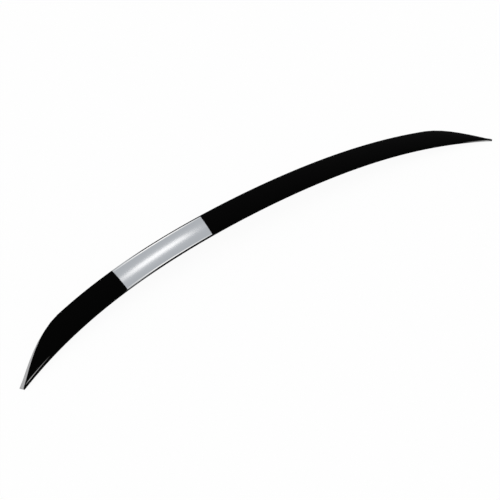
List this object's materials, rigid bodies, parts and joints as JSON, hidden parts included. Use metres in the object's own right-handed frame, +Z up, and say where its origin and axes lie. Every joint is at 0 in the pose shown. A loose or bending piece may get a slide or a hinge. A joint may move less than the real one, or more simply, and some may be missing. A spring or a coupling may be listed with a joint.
{
  "type": "boot lid lip spoiler",
  "caption": "Slim bowed boot lid lip spoiler in black plastic, with a raised rear ridge, tapered tips, a ribbed underside and an inlaid silver band.",
  "frame": {"origin": "middle of the bonding face on the underside, half way along the lip", "axes": "+X along the lip towards the end that carries the silver band, +Y towards the front of the car on the hollow side of the bow, +Z up from the boot lid"},
  "size_m": [1.2, 0.1542, 0.0528],
  "materials": {
    "black_plastic": "moulded ABS, top and front edge painted deep black, rear flank pale grey",
    "silver_paint": "thin ABS plate in silver metallic paint"
  },
  "bodies": {
    "root": {"lip_body": "black_plastic", "silver_band": "silver_paint"}
  },
  "joints": []
}
